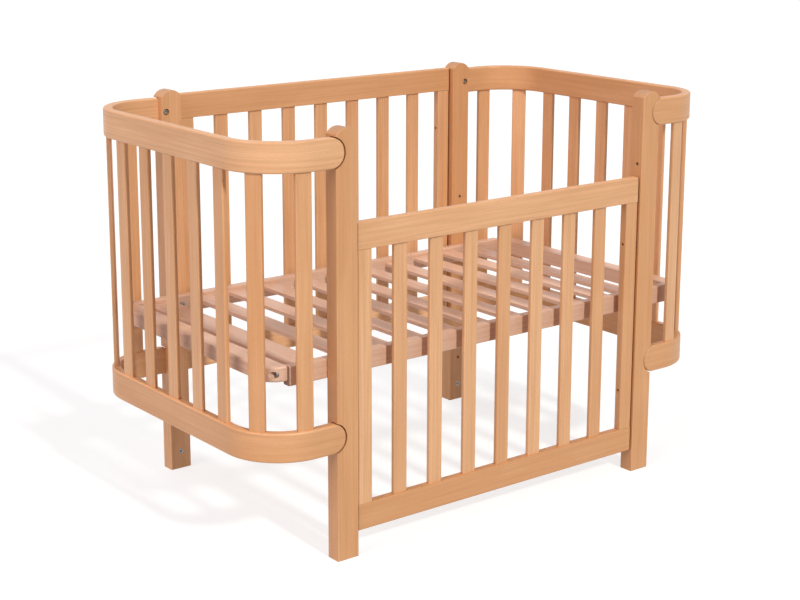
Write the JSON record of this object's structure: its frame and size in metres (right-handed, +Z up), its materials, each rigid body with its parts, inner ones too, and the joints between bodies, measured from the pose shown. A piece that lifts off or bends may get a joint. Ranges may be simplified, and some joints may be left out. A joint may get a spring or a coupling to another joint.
{
  "type": "crib",
  "caption": "Beech crib with arch-topped posts, bent C-shaped slatted ends, slatted sides set at separate heights and a slatted bed base.",
  "frame": {"origin": "on the floor under the middle of the crib", "axes": "+X along the length, +Y from the lowered front side to the raised back side, +Z up"},
  "size_m": [1.257, 0.7, 0.895],
  "materials": {
    "lacquered_beech": "clear satin lacquer",
    "plain_beech": "sanded, thin matt lacquer",
    "zinc_steel": "zinc plated"
  },
  "bodies": {
    "frame": {"post_front_left": "lacquered_beech", "post_front_right": "lacquered_beech", "post_back_left": "lacquered_beech", "post_back_right": "lacquered_beech", "end_rail_bottom_left": "lacquered_beech", "end_rail_bottom_right": "lacquered_beech", "end_rail_top_left": "lacquered_beech", "end_rail_top_right": "lacquered_beech", "end_slat_left_1": "lacquered_beech", "end_slat_left_2": "lacquered_beech", "end_slat_left_3": "lacquered_beech", "end_slat_left_4": "lacquered_beech", "end_slat_left_5": "lacquered_beech", "end_slat_left_6": "lacquered_beech", "end_slat_left_7": "lacquered_beech", "end_slat_left_8": "lacquered_beech", "end_slat_left_9": "lacquered_beech", "end_slat_right_1": "lacquered_beech", "end_slat_right_2": "lacquered_beech", "end_slat_right_3": "lacquered_beech", "end_slat_right_4": "lacquered_beech", "end_slat_right_5": "lacquered_beech", "end_slat_right_6": "lacquered_beech", "end_slat_right_7": "lacquered_beech", "end_slat_right_8": "lacquered_beech", "end_slat_right_9": "lacquered_beech", "rail_bolt_bottom_front_left": "zinc_steel", "rail_bolt_bottom_front_right": "zinc_steel", "rail_bolt_bottom_back_left": "zinc_steel", "rail_bolt_bottom_back_right": "zinc_steel", "rail_bolt_top_front_left": "zinc_steel", "rail_bolt_top_front_right": "zinc_steel", "rail_bolt_top_back_left": "zinc_steel", "rail_bolt_top_back_right": "zinc_steel", "back_bottom_rail": "lacquered_beech", "back_top_rail": "lacquered_beech", "back_stile_left": "lacquered_beech", "back_stile_right": "lacquered_beech", "back_slat_1": "lacquered_beech", "back_slat_2": "lacquered_beech", "back_slat_3": "lacquered_beech", "back_slat_4": "lacquered_beech", "back_slat_5": "lacquered_beech", "back_slat_6": "lacquered_beech", "back_slat_7": "lacquered_beech"},
    "front_side": {"front_bottom_rail": "lacquered_beech", "front_top_rail": "lacquered_beech", "front_stile_left": "lacquered_beech", "front_stile_right": "lacquered_beech", "front_slat_1": "lacquered_beech", "front_slat_2": "lacquered_beech", "front_slat_3": "lacquered_beech", "front_slat_4": "lacquered_beech", "front_slat_5": "lacquered_beech", "front_slat_6": "lacquered_beech", "front_slat_7": "lacquered_beech"},
    "bed_base": {"base_slat_deck": "plain_beech", "base_end_bar_left": "plain_beech", "base_end_bar_right": "plain_beech"}
  },
  "joints": [
    {"name": "front_side_height", "type": "slide", "parent": "frame", "child": "front_side", "axis": [0, 0, 1], "range_m": [0, 0.181]},
    {"name": "base_height", "type": "slide", "parent": "frame", "child": "bed_base", "axis": [0, 0, 1], "range_m": [-0.288, 0.145]}
  ]
}
